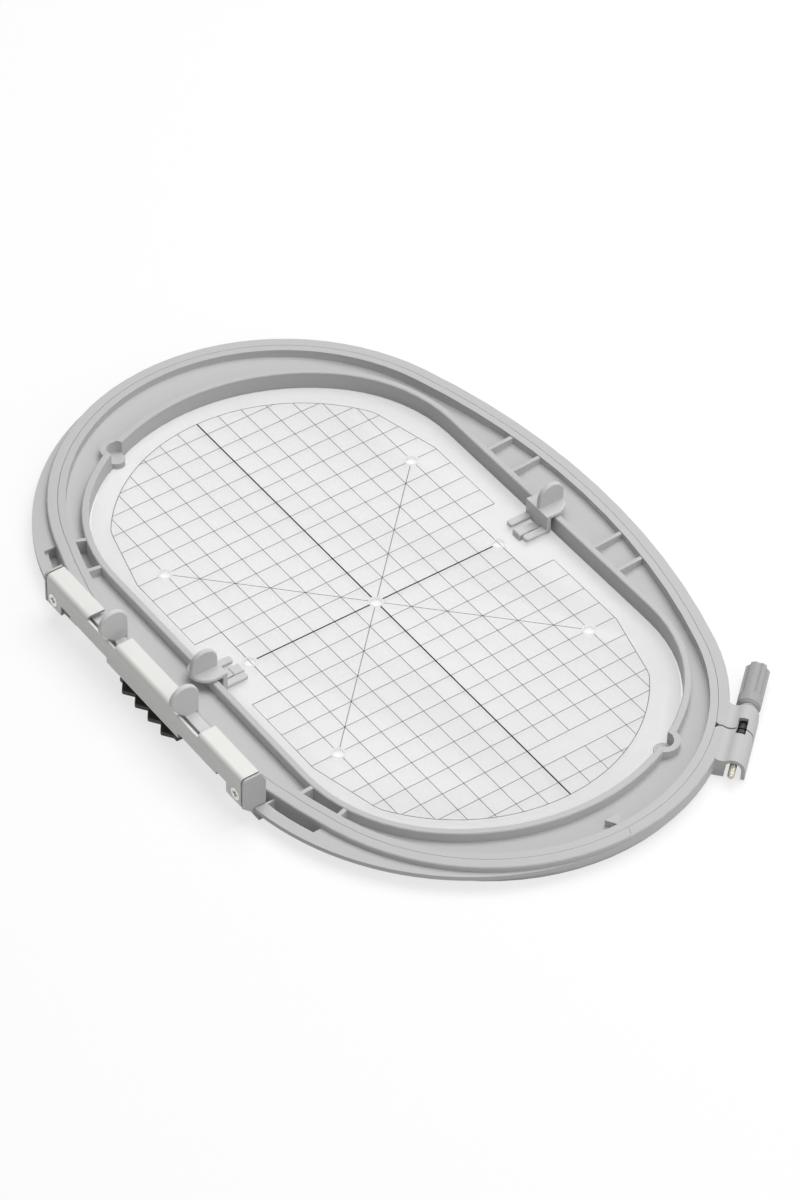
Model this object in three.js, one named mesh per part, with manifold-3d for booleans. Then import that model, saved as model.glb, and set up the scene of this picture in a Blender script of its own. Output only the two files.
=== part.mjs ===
// Machine embroidery hoop: outer hoop with coupling bracket and clamp, inner hoop, template with two handles.
// Millimetres, +Z up, the table is z = 0. X runs across the hoop away from the bracket, Y runs along it.
import * as THREE from 'three';
import { mergeVertices } from 'three/addons/utils/BufferGeometryUtils.js';
import Module from 'manifold-3d';

const wasm = await Module();
wasm.setup();

// Clearances
const gap = 0.3; // between neighbouring pieces
const fabricGap = 0.3; // between the two hoops, where the cloth is held
const templateGap = 0.7; // play of the template in the inner hoop
const leverPlay = 0.6; // between a release lever and the wall of the cover
const blockClearance = 0.7; // between the end blocks of the bracket and the ring
const overlap = 0.5; // how far joined shapes run into one another
const beyond = 1; // how far cutting shapes run past a face
const roundSides = 16; // facets of small round shapes

// The seam between the two hoops is an oval of side arcs and end arcs
const hoopHeight = 9.5;
const seamHalfWidth = 102.2;
const seamHalfLength = 157.8;
const sideBow = 10.87; // how far the half width exceeds the radius of the end arcs

// The opening has straight sides, corner arcs and end arcs
const sideBand = 20.9; // from the opening to the seam, at the long sides
const endBand = 19.8; // the same at the two ends
const cornerInset = 16; // from the long axis to the centres of the corner arcs
const endRise = 9; // how far the end radius exceeds the half width of the opening

// Inner hoop section
const innerRim = 2.9;
const outerRim = 3.2;
const rimEdge = 0.4; // chamfer on the rims
const rimDrop = 0.8; // top of the inner rim below the top of the hoop
const channelDepth = 4.5; // at the inner rim, below its top
const channelSlope = 0.15; // rise of the channel's floor towards the outer rim
const webThickness = 2.4;
const ribThickness = 1.7;
const farRibPlace = 27.3; // first rib from the middle, on the side away from the bracket
const farRibPitch = 16;
const nearRibAngles = [0.094, 0.342]; // turned about the corner centres, on the bracket side
const pocketFloor = 1.5; // height of the deep pockets between the near ribs
const nicheAngle = 0.47; // from the long axis, about the end centre
const nicheRadius = 4.2;
const nicheWall = 2.6;
const lugRadius = 3.6;
const lugHeight = 3;
const arrowWidth = 7;
const arrowLength = 5.4;

// Outer hoop section
const ringWidth = 4.4;
const skirtHeight = 3.5; // the ring's outer face starts here, with a bevel below
const skirtInset = 2;
const flangeSide = 1.6; // reach of the flange beyond the ring, on the bracket side
const flangeEnd = 0.3; // the same at the two ends
const flangeTop = 7;
const flangeLip = 2; // below the lip the underside slants in to the table
const pocketOffset = 0.9; // pockets in the flange, beyond the ring's outer face
const pocketWidth = 4.4;
const pocketWall = 5; // between a deep pocket and the edge of the flange
const stepWall = 2.5; // the same beside the shallow rear pocket
const pocketReach = 23; // along Y beyond the bracket
const pocketStep = 16; // where the rear pocket gets deep
const markDepth = 0.5;
const markWidth = 3.4;

// Coupling bracket, its places across the hoop measured outwards from the seam's widest line
const bracketHalfLength = 69;
const bracketTop = 23.5;
const sheet = 1.2;
const bendRadius = 2;
const coverReach = 10; // outer face of the cover
const coverBackReach = 1.8; // rear edge of the cover's top
const footLength = 11.5; // lower edge of the cover, from its ends: foot, pin notch, strip and middle
const footBottom = 9;
const pinNotchLength = 6.5;
const pinNotchTop = 14;
const stripBottom = 12.5;
const middleHalf = 25;
const middleBottom = 10;
const leverSlotLead = 1.5; // a lever slot in the cover starts this far before its lever
const leverSlotLength = 19.3;
const leverSlotDepth = 1.9;
const endPlate = 1;
const shoulderDrop = 4.5; // slanted inner edge of the end blocks
const seatTop = 2.2;
const seatReach = 3.4;
const guideReach = 0.7; // inner face of the guide wall
const guideWall = 1.1;
const guideFloorBottom = 11.8;
const guideFloor = 2;
const guideDrop = 0.4; // guide wall below the top of the levers
const springWall = 3;
const stopWall = 1;

// Release levers
const leverLength = 29.2;
const leverDrop = 2.9; // below the top of the cover
const thumbPlace = 3; // from the lever's inner end
const thumbThickness = 2.2;
const thumbReach = 6.9;
const thumbRise = 8.8; // middle of the thumb plate above the lever
const thumbRadius = 6.3;
const thumbNeck = 6.2;
const noseLength = 3.5;
const noseWidth = 3;
const noseHeight = 2.9;
const springMargin = 1.3; // from the spring's middle line to the guide floor
const springWire = 0.7;
const springTurns = 8;
const springSteps = 7; // facets of one turn

// Coding comb
const combReach = 10.4; // tips of the teeth
const combBackReach = 2.4;
const combDepth = 3;
const combPitch = 9;
const combTeeth = 4;
const combTip = 0.7; // width of the blunt tips
const combEnd = 2; // plain length beyond the last tooth
const combThickness = 1.9;
const combPadReach = 5.2;
const combPadInset = 2.5;

// Fasteners
const coverScrew = { head: 2.8, headLength: 1.4, shank: 1.4, length: 7.6 };
const coverScrewInset = 5.5;
const coverScrewZ = 12.6;
const bodyScrew = { head: 1.7, headLength: 0.9, shank: 1, length: 8.4 };
const bodyScrewInset = 6.5;
const bodyScrewReach = 1.2;
const bodyScrewSink = 0.2; // head above the table
const combScrew = { head: 1.7, headLength: 1.2, shank: 1, length: 4.8 };
const combScrewInset = 6;
const combScrewReach = 4.3;

// Template and handles
const plateTop = 1.5;
const plateThickness = 1.2;
const printX = -1.5; // where the centre of the printed field lies on the plate
const printY = 1.2;
const markHole = 2.3;
const markInset = 21.3; // from the sides of the opening to the outer marking holes
const nearHandleY = 0.2;
const farHandleY = 1.6;
const handleWidth = 14;
const handleInset = 4; // inner face of the upright wall, from the side of the opening
const handleWall = 2;
const prongLength = 10;
const prongWidth = 3.4;
const prongCorner = 1.2;
const prongHeight = 2;
const tongueLength = 10.5;
const tongueWidth = 4.6;
const tonguePlace = -0.7; // nearer to one of the prongs
const tongueHeight = 1.3; // at the pad, from where it slopes down to the wall
const tongueSlope = 0.7;
const tongueDrop = 0.3; // pad at the tongue's tip below the prongs
const padLength = 4.8;
const bridgeThickness = 1.8;
const bridgeReach = 1.6; // centre of the bridge's round end, beyond the side of the opening
const gripThickness = 2.2;
const gripWidth = 12.2;
const gripHeight = 9.7;

// Tension clamp, in its own frame: X along the screw, Y towards the middle of the hoop
const clampAngle = -0.848; // of the middle of the clamp, about the end centre of the seam
const clampOut = 10.1; // screw axis beyond the seam
const clampHeight = 5;
const hoodRadius = 4.85;
const hoodWall = 1.55;
const hoodBottom = 0.5;
const frontLug = 14.8;
const rearLug = 16.2;
const lugWall = 2;
const valleyRadius = 4; // hollow between the hood and the ring
const valleyDrop = 0.9;
const splitPlace = 1.7;
const splitWidth = 0.8;
const windowStart = -1.1;
const windowLength = 8.5;
const windowWidth = 3.8;
const notchHalf = 1.4; // notch where the split meets the seam
const notchDepth = 1.7;
const screwRadius = 1.8;
const screwTip = 20.6;
const screwInKnob = 15;
const washerThickness = 0.8;
const washerRadius = 3.6;
const nutWallEnd = -3; // the wall that holds the nut, behind the window
const nutWall = 1.4;
const nutLength = 3.6;
const nutRadius = 2.9;
const retainerStart = -0.8;
const retainerRadius = 2.9;
const retainerFork = 2.2; // slot in the end seen in the window
const forkWidth = 1.8;
const retainerLip = 3.9; // first band, then a groove
const retainerGroove = 0.8;
const retainerNeck = 2.4;
const collarLength = 1.2;
const collarRadius = 3.5;
const knobLength = 22.4;
const knobRadius = 4.85;
const knobBand = 5; // plain part before the flutes
const knobFrontEdge = 1;
const knobEndEdge = 0.6;
const knobSides = 24;
const fluteCount = 6;
const fluteTurn = 0.61; // of the first flute about the screw
const fluteRadius = 2;
const fluteDepth = 1.1;
const fluteRunOut = 1.6; // length of a flute's rounded end

// Outlines worked out from the sizes above
const seamEndRadius = seamHalfWidth - sideBow;
const seamEndCentre = seamHalfLength - seamEndRadius;
const seamSideRadius = (seamEndCentre ** 2 / sideBow + seamEndRadius + seamHalfWidth) / 2;
const seamSideCentre = seamSideRadius - seamHalfWidth;
const seamTurn = Math.atan2(seamEndCentre, seamSideCentre);
const openingHalfWidth = seamHalfWidth - sideBand;
const cornerRadius = openingHalfWidth - cornerInset;
const endRadius = openingHalfWidth + endRise;
const endCentre = seamHalfLength - endBand - endRadius;
const cornerY = endCentre + Math.sqrt((endRadius - cornerRadius) ** 2 - cornerInset ** 2);
const cornerTurn = Math.atan2(cornerY - endCentre, cornerInset);
const ringReach = seamHalfWidth + ringWidth;
const flangeRadius = ringReach + flangeSide;
const flangeCentre = seamHalfLength + ringWidth + flangeEnd - flangeRadius;

// Heights worked out from the sizes above
const innerRimTop = hoopHeight - rimDrop;
const channelFloor = innerRimTop - channelDepth; // at the inner rim
const guideFloorTop = guideFloorBottom + guideFloor;
const leverTop = bracketTop - leverDrop;
const guideWallTop = leverTop - guideDrop;
const thumbZ = leverTop + thumbRise;
const combBottom = seatTop + gap;
const combTop = combBottom + combThickness;
const plateBottom = plateTop - plateThickness;
const bridgeBottom = innerRimTop + gap;
const bridgeTop = bridgeBottom + bridgeThickness;

// Places along the bracket, from its middle
const footStart = bracketHalfLength - footLength;
const pinNotchStart = footStart - pinNotchLength;
const leverEnd = pinNotchStart - stopWall - gap;
const leverStart = leverEnd - leverLength;
const thumbY = leverStart + thumbPlace;
const leverSlotStart = leverStart - leverSlotLead;
const leverSlotStop = leverSlotStart + leverSlotLength;
const coverScrewY = bracketHalfLength - coverScrewInset;
const bodyScrewY = bracketHalfLength - bodyScrewInset;
const combTeethHalf = (combTeeth * combPitch) / 2;
const combHalfLength = combTeethHalf + combEnd;
const combScrewY = combHalfLength - combScrewInset;

// Places across the bracket
const wallX = -seamHalfWidth - coverReach;
const wallInnerX = wallX + sheet;
const blockX = wallInnerX + gap;
const leverX = wallInnerX + leverPlay;
const coverInnerX = -seamHalfWidth - coverBackReach;
const guideInnerX = -seamHalfWidth - guideReach;
const guideWallX = guideInnerX - guideWall;
const leverInnerX = guideWallX - gap;
const leverMiddleX = (leverX + leverInnerX) / 2;
const seatX = -seamHalfWidth - seatReach;
const blockFootX = seatX + gap;
const ringAtFoot = Math.sqrt((seamSideRadius + ringWidth) ** 2 - footStart ** 2) - seamSideCentre;
const blockInnerX = -ringAtFoot - blockClearance;
const bodyScrewX = -seamHalfWidth - bodyScrewReach;
const thumbX = -seamHalfWidth - thumbReach;
const combTipX = -seamHalfWidth - combReach;
const combBackX = -seamHalfWidth - combBackReach;
const combPadX = -seamHalfWidth - combPadReach;
const combScrewX = -seamHalfWidth - combScrewReach;
const frameShift = (thumbRadius - thumbX - ringReach) / 2; // centres the bounding box on the Z axis

// Outline helpers
function arc(x, y, radius, from, to, steps) {
  const points = [];
  for (let i = 0; i <= steps; i += 1) {
    const angle = from + ((to - from) * i) / steps;
    points.push(new THREE.Vector2(x + radius * Math.cos(angle), y + radius * Math.sin(angle)));
  }
  return points;
}

function corners(...pairs) {
  return pairs.map(([x, y]) => new THREE.Vector2(x, y));
}

// Joins runs of points, leaving out points that repeat
function outline(...runs) {
  const points = [];
  for (const point of runs.flat()) {
    const last = points[points.length - 1];
    if (!last || last.distanceTo(point) > 1e-4) points.push(point);
  }
  if (points[0].distanceTo(points[points.length - 1]) < 1e-4) points.pop();
  return points;
}

function seamOval(offset) {
  const side = seamSideRadius + offset;
  const end = seamEndRadius + offset;
  const turn = seamTurn;
  return outline(
    arc(-seamSideCentre, 0, side, -turn, turn, 12),
    arc(0, seamEndCentre, end, turn, Math.PI - turn, 32),
    arc(seamSideCentre, 0, side, Math.PI - turn, Math.PI + turn, 12),
    arc(0, -seamEndCentre, end, Math.PI + turn, 2 * Math.PI - turn, 32),
  );
}

function openingOutline(offset) {
  const corner = cornerRadius + offset;
  const end = endRadius + offset;
  const turn = cornerTurn;
  return outline(
    arc(cornerInset, cornerY, corner, 0, turn, 9),
    arc(0, endCentre, end, turn, Math.PI - turn, 20),
    arc(-cornerInset, cornerY, corner, Math.PI - turn, Math.PI, 9),
    arc(-cornerInset, -cornerY, corner, Math.PI, Math.PI + turn, 9),
    arc(0, -endCentre, end, Math.PI + turn, 2 * Math.PI - turn, 20),
    arc(cornerInset, -cornerY, corner, 2 * Math.PI - turn, 2 * Math.PI, 9),
  );
}

// Long round-ended outline of the flange
function flangeOutline(inset) {
  const radius = flangeRadius - inset;
  return outline(
    arc(0, flangeCentre, radius, 0, Math.PI, 60),
    arc(0, -flangeCentre, radius, Math.PI, 2 * Math.PI, 60),
  );
}

// Shape helpers
function solid(geometry) {
  const bare = geometry.clone();
  bare.deleteAttribute('normal');
  bare.deleteAttribute('uv');
  const merged = mergeVertices(bare);
  const vertProperties = new Float32Array(merged.attributes.position.array);
  const triVerts = new Uint32Array(merged.index.array);
  return new wasm.Manifold(new wasm.Mesh({ numProp: 3, vertProperties, triVerts }));
}

function geometryOf(manifold) {
  const mesh = manifold.getMesh();
  const geometry = new THREE.BufferGeometry();
  geometry.setAttribute('position', new THREE.BufferAttribute(new Float32Array(mesh.vertProperties), 3));
  geometry.setIndex(new THREE.BufferAttribute(new Uint32Array(mesh.triVerts), 1));
  return geometry;
}

function union(...pieces) {
  return pieces.reduce((whole, piece) => whole.add(piece));
}

function cut(body, ...tools) {
  return tools.reduce((rest, tool) => rest.subtract(tool), body);
}

function extrusion(points, holes, depth, edge) {
  const shape = new THREE.Shape(points);
  shape.holes = holes.map((hole) => new THREE.Path(hole));
  return new THREE.ExtrudeGeometry(shape, {
    depth: depth - 2 * edge,
    bevelEnabled: edge > 0,
    bevelThickness: edge,
    bevelSize: edge,
    bevelOffset: -edge,
    bevelSegments: 1,
    steps: 1,
  }).translate(0, 0, edge);
}

// Level plate between two heights, with an optional chamfer
function slab(points, bottom, top, holes = [], edge = 0) {
  return solid(extrusion(points, holes, top - bottom, edge).translate(0, 0, bottom));
}

// Plate between two outlines of equally many points
function flared(lower, upper, bottom, top) {
  const count = lower.length;
  const places = [];
  for (const point of lower) places.push(point.x, point.y, bottom);
  for (const point of upper) places.push(point.x, point.y, top);
  const faces = [];
  for (const [a, b, c] of THREE.ShapeUtils.triangulateShape(lower, [])) {
    faces.push(a, c, b, count + a, count + b, count + c);
  }
  for (let i = 0; i < count; i += 1) {
    const next = (i + 1) % count;
    faces.push(i, next, count + next, i, count + next, count + i);
  }
  const geometry = new THREE.BufferGeometry();
  geometry.setAttribute('position', new THREE.Float32BufferAttribute(places, 3));
  geometry.setIndex(faces);
  return solid(geometry);
}

// Profile in X and Z, drawn out along Y
function prismY(points, from, to, edge = 0) {
  return solid(extrusion(points, [], to - from, edge).rotateX(Math.PI / 2).translate(0, to, 0));
}

// Profile in Y and Z, drawn out along X
const profileToX = new THREE.Matrix4().makeBasis(
  new THREE.Vector3(0, 1, 0),
  new THREE.Vector3(0, 0, 1),
  new THREE.Vector3(1, 0, 0),
);
function prismX(points, from, to) {
  return solid(extrusion(points, [], to - from, 0).applyMatrix4(profileToX).translate(from, 0, 0));
}

function box(x0, x1, y0, y1, z0, z1) {
  const shape = new THREE.BoxGeometry(x1 - x0, y1 - y0, z1 - z0);
  return solid(shape.translate((x0 + x1) / 2, (y0 + y1) / 2, (z0 + z1) / 2));
}

function post(x, y, radius, bottom, top) {
  const shape = new THREE.CylinderGeometry(radius, radius, top - bottom, roundSides);
  return solid(shape.rotateX(Math.PI / 2).translate(x, y, (bottom + top) / 2));
}

// Turned shape along X from pairs of place and radius
function turnedX(pairs, segments = roundSides) {
  const first = new THREE.Vector2(0, pairs[0][0]);
  const last = new THREE.Vector2(0, pairs[pairs.length - 1][0]);
  const profile = pairs.map(([place, radius]) => new THREE.Vector2(radius, place));
  const shape = new THREE.LatheGeometry([first, ...profile, last], segments);
  return solid(shape.rotateZ(-Math.PI / 2));
}

// Screw along X with its head's outer face at 0, the shank running to +X
function crossScrew({ head, headLength, shank, length }, countersunk) {
  const shoulder = countersunk ? [] : [[headLength, head]];
  const blank = turnedX([[0, head], ...shoulder, [headLength, shank], [length, shank]]);
  const arm = 0.6 * head;
  const slotHalf = 0.14 * head;
  const depth = 0.6 * headLength;
  const across = box(-beyond, depth, -arm, arm, -slotHalf, slotHalf);
  const upright = box(-beyond, depth, -slotHalf, slotHalf, -arm, arm);
  return cut(blank, across, upright);
}

// Room for a countersunk screw, open at the head
function screwRoom({ head, headLength, shank }, length) {
  const wide = head + gap;
  const bore = shank + gap;
  return turnedX([[-beyond, wide], [0, wide], [headLength, bore], [length, bore]]);
}

// Moves a solid from its own frame to a place, turned about Y and then about Z
function placed(piece, x, y, z, turnY = 0, turnZ = 0) {
  const frame = new THREE.Matrix4().makeTranslation(x, y, z);
  frame.multiply(new THREE.Matrix4().makeRotationZ(turnZ));
  frame.multiply(new THREE.Matrix4().makeRotationY(turnY));
  return solid(geometryOf(piece).applyMatrix4(frame));
}

function mirroredY(piece) {
  return piece.mirror([0, 1, 0]);
}

const clampRadius = seamEndRadius + clampOut;
const clampX = clampRadius * Math.cos(clampAngle);
const clampY = -seamEndCentre + clampRadius * Math.sin(clampAngle);
function onClamp(piece) {
  return placed(piece, clampX, clampY, clampHeight, 0, clampAngle + Math.PI / 2);
}

// Finishes
const hoopPlastic = { color: 0xc9cccc, roughness: 0.55, metalness: 0 };
const darkPlastic = { color: 0x2c2c2b, roughness: 0.5, metalness: 0 };
const clearPlastic = { color: 0xe9ebea, roughness: 0.15, metalness: 0 };
const knobPlastic = { color: 0xc2c3c2, roughness: 0.5, metalness: 0 };
const sheetMetal = { color: 0xd6d5d0, roughness: 0.35, metalness: 0.9 };
const steel = { color: 0xb9b6ae, roughness: 0.3, metalness: 1 };

const hoop = new THREE.Group();
hoop.name = 'embroidery_hoop';

function addPart(name, piece, finish) {
  const geometry = geometryOf(piece).translate(frameShift, 0, 0).toNonIndexed();
  geometry.computeVertexNormals();
  const mesh = new THREE.Mesh(geometry, new THREE.MeshStandardMaterial(finish));
  mesh.name = name;
  hoop.add(mesh);
}

// Inner hoop
const nicheX = -endRadius * Math.sin(nicheAngle);
const nicheY = endCentre + endRadius * Math.cos(nicheAngle);
const niches = [[nicheX, nicheY], [-nicheX, -nicheY]];

function channel(bottom, top, into = 0) {
  return slab(seamOval(into - outerRim), bottom, top, [openingOutline(innerRim - into)]);
}

// Everything above a surface that starts at the inner rim and rises outwards
function aboveSlope(start, slope) {
  const top = 2 * hoopHeight;
  const bottom = start - slope * overlap;
  const spread = (top - bottom) / slope;
  return flared(openingOutline(innerRim - overlap), openingOutline(innerRim - overlap + spread), bottom, top);
}

function farRib(y) {
  const half = ribThickness / 2;
  return box(openingHalfWidth, seamHalfWidth, y - half, y + half, 0, hoopHeight);
}

// Wedge of a slab that starts at a corner centre on the bracket side
function cornerWedge(side, bottom, top) {
  const reach = seamHalfWidth;
  const ends = nearRibAngles.map((angle) => [
    -cornerInset - reach * Math.cos(angle),
    side * (cornerY + reach * Math.sin(angle)),
  ]);
  return slab(corners([-cornerInset, side * cornerY], ...ends), bottom, top);
}

function nearRib(side, angle) {
  const half = ribThickness / 2;
  const bar = box(-seamHalfWidth, 0, -half, half, 0, hoopHeight);
  return placed(bar, -cornerInset, side * cornerY, 0, 0, -side * angle);
}

function innerHoop() {
  const opening = slab(openingOutline(0), -beyond, hoopHeight + beyond);
  const ribSpace = channel(0, hoopHeight - rimEdge, overlap);
  const channelWidth = sideBand - outerRim - innerRim;
  const aboveRibs = aboveSlope(innerRimTop - rimEdge, rimDrop / channelWidth);
  const aboveFloor = aboveSlope(channelFloor, channelSlope);
  const aboveUnderside = aboveSlope(channelFloor - webThickness, channelSlope);
  const upper = slab(seamOval(-outerRim), 0, 2 * hoopHeight).intersect(aboveFloor);
  const lower = cut(channel(-beyond, hoopHeight), aboveUnderside);
  const blank = slab(seamOval(0), 0, hoopHeight, [openingOutline(innerRim / 2)], rimEdge);
  const rim = slab(openingOutline(innerRim), 0, innerRimTop, [openingOutline(0)], rimEdge);
  let body = cut(blank, upper, lower).add(rim);
  const ribs = [];
  for (const side of [1, -1]) {
    ribs.push(farRib(side * farRibPlace), farRib(side * (farRibPlace + farRibPitch)));
    ribs.push(...nearRibAngles.map((angle) => nearRib(side, angle)));
    const filling = cornerWedge(side, 0, pocketFloor + overlap).intersect(ribSpace);
    const hollow = cornerWedge(side, pocketFloor, 2 * hoopHeight).intersect(channel(0, 2 * hoopHeight));
    body = cut(body.add(filling), hollow);
  }
  body = union(body, ...ribs.map((rib) => cut(rib.intersect(ribSpace), aboveRibs)));
  for (const [x, y] of niches) {
    const bulge = cut(post(x, y, nicheRadius + nicheWall, 0, innerRimTop - rimEdge), opening);
    body = cut(body.add(bulge), post(x, y, nicheRadius, lugHeight, hoopHeight + beyond));
    body = body.add(post(x, y, lugRadius, 0, lugHeight));
  }
  const tip = -(seamHalfLength - outerRim + overlap);
  const arrow = corners([-arrowWidth / 2, tip + arrowLength], [0, tip], [arrowWidth / 2, tip + arrowLength]);
  return body.add(slab(arrow, channelFloor, innerRimTop));
}
addPart('inner_hoop', innerHoop(), hoopPlastic);

// Outer hoop
function ring() {
  const bevelBottom = skirtHeight - skirtInset;
  const bevelled = slab(seamOval(ringWidth), bevelBottom, hoopHeight - skirtInset, [], skirtInset);
  const upper = slab(seamOval(ringWidth), skirtHeight - rimEdge, hoopHeight, [], rimEdge);
  const foot = slab(seamOval(ringWidth - skirtInset), 0, skirtHeight);
  return union(bevelled, upper, foot);
}

// Pocket in the flange beside the bracket, between the ring and the flange's edge
function flangePocket(side, from, to, floor, wall) {
  const inner = ringWidth + pocketOffset;
  const band = slab(seamOval(inner + pocketWidth), floor, hoopHeight, [seamOval(inner)]);
  const within = slab(flangeOutline(wall), 0, 2 * hoopHeight);
  const [low, high] = side > 0 ? [from, to] : [-to, -from];
  return band.intersect(within).intersect(box(-2 * seamHalfWidth, 0, low, high, 0, hoopHeight));
}

// The flange lies on the bracket side only, in front of and behind the bracket
function flange() {
  const slant = flangeTop - flangeLip;
  const reach = 2 * flangeRadius;
  const end = bracketHalfLength + gap;
  const start = end + pocketOffset;
  const stop = bracketHalfLength + pocketReach;
  const rearStop = stop + pocketWidth / 2;
  return cut(
    slab(flangeOutline(0), 0, flangeTop + slant, [], slant),
    box(0, reach, -reach, reach, -beyond, 2 * hoopHeight),
    box(-reach, reach, -reach, reach, flangeTop, 2 * hoopHeight),
    box(-reach, reach, -end, end, -beyond, hoopHeight),
    flangePocket(-1, start, stop, pocketFloor, pocketWall),
    flangePocket(1, start, rearStop, slant, stepWall),
    flangePocket(1, bracketHalfLength + pocketStep, rearStop, pocketFloor, pocketWall),
  );
}

// Low plates that carry the ends of the bracket and the comb
function seats() {
  const inside = -seamHalfWidth + ringWidth;
  const end = bracketHalfLength + gap + overlap;
  const padHalf = combHalfLength - combPadInset;
  return [
    box(seatX, inside, footStart, end, 0, seatTop),
    box(seatX, inside, -end, -footStart, 0, seatTop),
    box(combPadX, inside, -padHalf, padHalf, 0, seatTop),
  ];
}

function archProfile(radius, bottom) {
  return outline(corners([-radius, bottom], [radius, bottom]), arc(0, 0, radius, 0, Math.PI, 16));
}

// Hollow between the hood and the ring, tangent to the hood
const valleyZ = hoopHeight - clampHeight - valleyDrop + valleyRadius;
const valleyY = Math.sqrt((hoodRadius + valleyRadius) ** 2 - valleyZ ** 2);
const valleySides = 28;

// Clamp lugs in the clamp's frame: one hood over both, with walls for the screw and the nut
function clampLugs() {
  const bottom = hoodBottom - clampHeight;
  const inner = hoodRadius - hoodWall;
  const webStart = (valleyY * hoodRadius) / (hoodRadius + valleyRadius);
  const hood = prismX(archProfile(hoodRadius, bottom), -rearLug, frontLug);
  const web = box(-rearLug, frontLug, webStart, 2 * hoodRadius, bottom, hoopHeight - clampHeight);
  const hollow = prismX(archProfile(inner, bottom - beyond), -rearLug - beyond, frontLug - lugWall);
  const nutStop = prismX(archProfile(inner + overlap, bottom), nutWallEnd - nutWall, nutWallEnd);
  return union(cut(union(hood, web), hollow), nutStop);
}

function clampCuts() {
  const reach = 2 * hoodRadius;
  const high = hoopHeight;
  const split = box(splitPlace - splitWidth / 2, splitPlace + splitWidth / 2, -reach, 2 * reach, -high, high);
  const inner = hoodRadius - hoodWall;
  const halfWidth = windowWidth / 2;
  const windowEnd = windowStart + windowLength;
  const windowCut = box(windowStart, windowEnd, -halfWidth, halfWidth, inner - overlap, high);
  const bore = turnedX([[-rearLug - beyond, screwRadius + gap], [frontLug + beyond, screwRadius + gap]]);
  const seam = clampOut - fabricGap;
  const wide = (notchHalf * (notchDepth + beyond)) / notchDepth;
  const notch = corners(
    [splitPlace - wide, seam + beyond],
    [splitPlace, seam - notchDepth],
    [splitPlace + wide, seam + beyond],
  );
  const valley = turnedX([[-rearLug - gap, valleyRadius], [frontLug + gap, valleyRadius]], valleySides);
  return [split, windowCut, bore, placed(valley, 0, valleyY, valleyZ), slab(notch, -high, high)];
}

function outerHoop() {
  const bore = slab(seamOval(fabricGap), -beyond, 2 * hoopHeight);
  const combHigh = combTop + combScrew.headLength + 2 * gap;
  const combRoomHalf = combHalfLength + beyond;
  const combRoom = box(2 * combTipX, combBackX + gap, -combRoomHalf, combRoomHalf, seatTop, combHigh);
  const markY = -seamHalfLength - fabricGap;
  const markHalf = markWidth / 2;
  const mark = corners([-markHalf, markY + beyond], [markHalf, markY + beyond], [0, markY - markWidth]);
  const screwHoles = [];
  for (const side of [1, -1]) {
    const sink = screwRoom(bodyScrew, seatTop + beyond);
    screwHoles.push(placed(sink, bodyScrewX, side * bodyScrewY, 0, -Math.PI / 2));
    screwHoles.push(post(combScrewX, side * combScrewY, combScrew.shank + gap, -beyond, combTop));
  }
  const body = union(ring(), flange(), ...seats(), onClamp(clampLugs()));
  return cut(
    body,
    bore,
    combRoom,
    slab(mark, hoopHeight - markDepth, hoopHeight + beyond),
    ...clampCuts().map(onClamp),
    ...screwHoles,
  );
}
addPart('outer_hoop', outerHoop(), hoopPlastic);

// Coupling bracket
const blockTop = bracketTop - sheet - gap;
const blockBottom = seatTop + gap;

// Profile in X and Z of a bracket end, either the full end plate or the block inside the cover
function blockProfile(outerX, top, radius) {
  const upper = radius > 0
    ? arc(outerX + radius, top - radius, radius, Math.PI, Math.PI / 2, 6)
    : corners([outerX, top]);
  const shoulder = bracketTop - shoulderDrop;
  return outline(
    corners([blockFootX, blockBottom], [outerX, footBottom]),
    upper,
    corners([coverInnerX - gap, top], [blockInnerX, shoulder], [blockInnerX, blockBottom]),
  ).reverse();
}

// Half of the coupling body, on the +Y side
function bodyHalf() {
  const plateStart = bracketHalfLength - endPlate;
  const inFoot = footStart + overlap;
  const inWall = guideWallX + overlap;
  const low = guideFloorTop - overlap;
  const stopStart = leverEnd + gap;
  const frame = union(
    prismY(blockProfile(blockX, blockTop, 0), footStart, plateStart + overlap),
    prismY(blockProfile(wallX, bracketTop, bendRadius), plateStart, bracketHalfLength),
    box(guideWallX, guideInnerX, 0, inFoot, hoopHeight + gap, guideWallTop),
    box(blockX, guideInnerX - overlap, 0, inFoot, guideFloorBottom, guideFloorTop),
    box(blockX, inWall, 0, springWall / 2, low, guideWallTop),
    box(blockX, inWall, stopStart, stopStart + stopWall, low, leverTop - noseHeight),
  );
  const noseHalf = noseWidth / 2 + gap;
  const noseTop = guideFloorTop + noseHeight + 2 * gap;
  const noseReach = leverEnd + 2 * noseLength;
  const coverScrewEnd = coverScrew.length - sheet;
  const bore = coverScrew.shank + gap;
  const bodyScrewEnd = bodyScrewSink + bodyScrew.length + gap;
  return cut(
    frame,
    box(leverMiddleX - noseHalf, leverMiddleX + noseHalf, leverStart, noseReach, guideFloorTop, noseTop),
    box(2 * wallX, guideWallX - stopWall, pinNotchStart, footStart, 0, guideFloorTop + overlap),
    placed(turnedX([[-beyond, bore], [coverScrewEnd, bore]]), blockX, coverScrewY, coverScrewZ),
    post(bodyScrewX, bodyScrewY, bodyScrew.shank + gap, 0, bodyScrewEnd),
  );
}
const halfBody = bodyHalf();
addPart('coupling_body', halfBody.add(mirroredY(halfBody)), hoopPlastic);

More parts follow.
